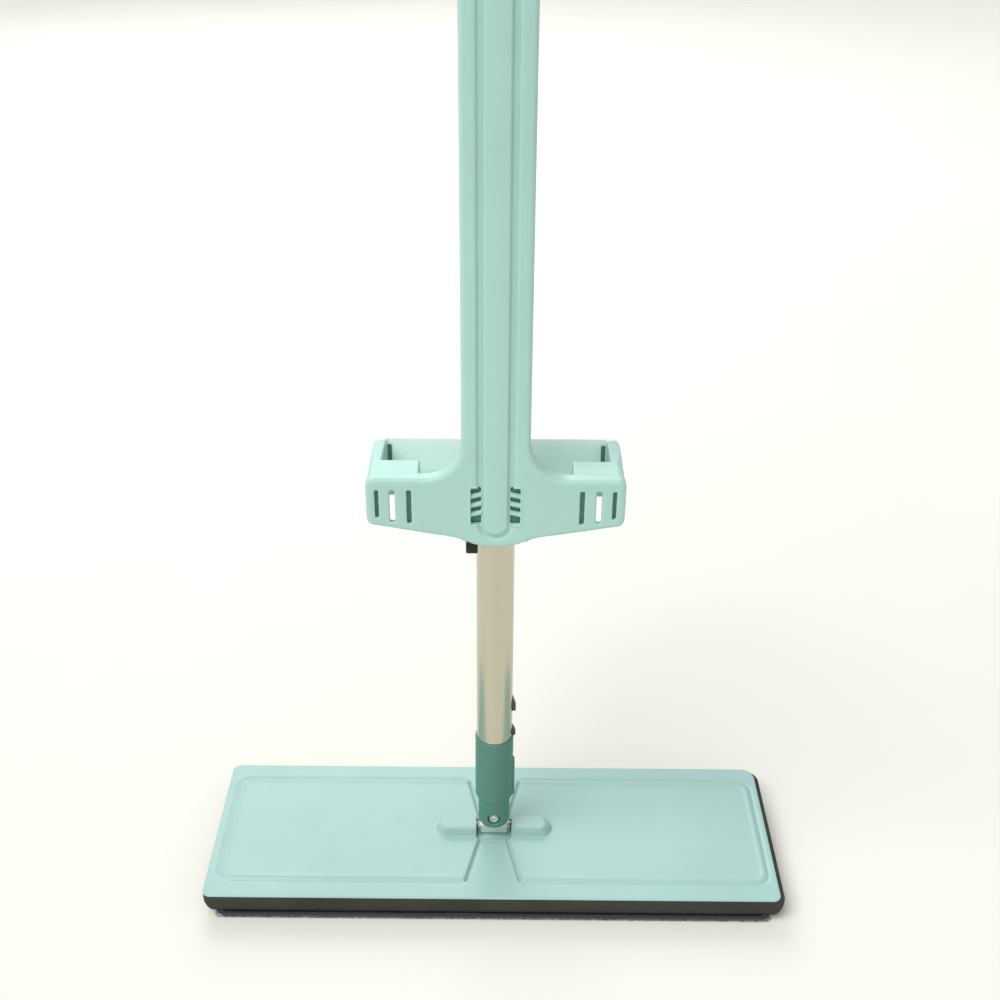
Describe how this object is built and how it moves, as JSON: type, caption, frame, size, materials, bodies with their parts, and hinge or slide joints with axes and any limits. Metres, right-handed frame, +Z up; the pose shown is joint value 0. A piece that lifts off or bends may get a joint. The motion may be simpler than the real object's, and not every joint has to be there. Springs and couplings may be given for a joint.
{
  "type": "flat wringer mop",
  "caption": "Flat floor mop: a swivelling rectangular head on a steel pole, and a winged sleeve that slides down the pole to squeeze the folded head's pad.",
  "frame": {"origin": "centre of the pad's underside, on the floor, below the tilt pin", "axes": "+Z up along the pole, +X along the head's long side, +Y to the rear, towards the wringer's open side"},
  "size_m": [0.36, 0.12, 1.262],
  "materials": {
    "mint_abs": "satin moulded mint green",
    "plate_mint": "satin moulded pale mint green",
    "teal": "satin moulded dark teal",
    "stainless": "drawn tube, fine lengthwise grain",
    "zinc_steel": "zinc plated",
    "foam": "matt charcoal closed-cell foam",
    "microfibre": "short dark grey-blue pile",
    "hook_nylon": "hook tape",
    "black_plastic": "satin black",
    "grip": "soft dark teal grip",
    "roller": "smooth pale grey acetal"
  },
  "bodies": {
    "head": {"plate_cover": "plate_mint", "foam_base": "foam", "hook_strip_front": "hook_nylon", "hook_strip_rear": "hook_nylon", "microfibre_pad": "microfibre", "pivot_pin": "zinc_steel", "pin_retainer_left": "plate_mint", "pin_retainer_right": "plate_mint"},
    "yoke": {"yoke_bracket": "zinc_steel", "pivot_washer_left": "black_plastic", "pivot_washer_right": "black_plastic"},
    "pole": {"socket_connector": "teal", "clevis_rivet": "zinc_steel", "tube_lower": "stainless", "tube_joint": "teal", "tube_upper": "stainless", "hand_grip": "grip", "end_cap": "teal"},
    "collar": {"slide_collar": "black_plastic"},
    "sleeve": {"sleeve_shell": "mint_abs", "centre_spine": "mint_abs", "rear_frame": "mint_abs", "frame_screw_1": "zinc_steel", "frame_screw_2": "zinc_steel", "frame_screw_3": "zinc_steel", "frame_screw_4": "zinc_steel", "roller_axle": "zinc_steel", "guide_lower": "black_plastic", "guide_upper": "black_plastic", "back_cover": "mint_abs", "cover_screw_1": "zinc_steel", "cover_screw_2": "zinc_steel", "cover_screw_3": "zinc_steel", "cover_screw_4": "zinc_steel", "sleeve_cap": "teal", "lock_spring": "zinc_steel", "spring_seat": "mint_abs"},
    "roller": {"squeeze_roller": "roller"},
    "lock": {"lock_button": "black_plastic"}
  },
  "joints": [
    {"name": "head_tilt", "type": "hinge", "parent": "head", "child": "yoke", "pos_m": [0, 0, 0.0215], "axis": [1, 0, 0], "range_deg": [-60, 0]},
    {"name": "head_fold", "type": "hinge", "parent": "yoke", "child": "pole", "pos_m": [0, 0, 0.0368], "axis": [0, -1, 0], "range_deg": [-70, 90]},
    {"name": "sleeve_slide", "type": "slide", "parent": "pole", "child": "collar", "axis": [0, 0, -1], "range_m": [-0.15, 0.19]},
    {"name": "sleeve_turn", "type": "hinge", "parent": "collar", "child": "sleeve", "pos_m": [0, 0, 0.641], "axis": [0, 0, 1], "range_deg": [-90, 90]},
    {"name": "roller_spin", "type": "hinge", "parent": "sleeve", "child": "roller", "pos_m": [0, 0.0415, 0.2524], "axis": [1, 0, 0], "continuous": true},
    {"name": "lock_press", "type": "slide", "parent": "sleeve", "child": "lock", "axis": [0, 0, 1], "range_m": [0, 0.004], "stiffness_N_per_m": 150, "deforming": ["lock_spring"]}
  ]
}
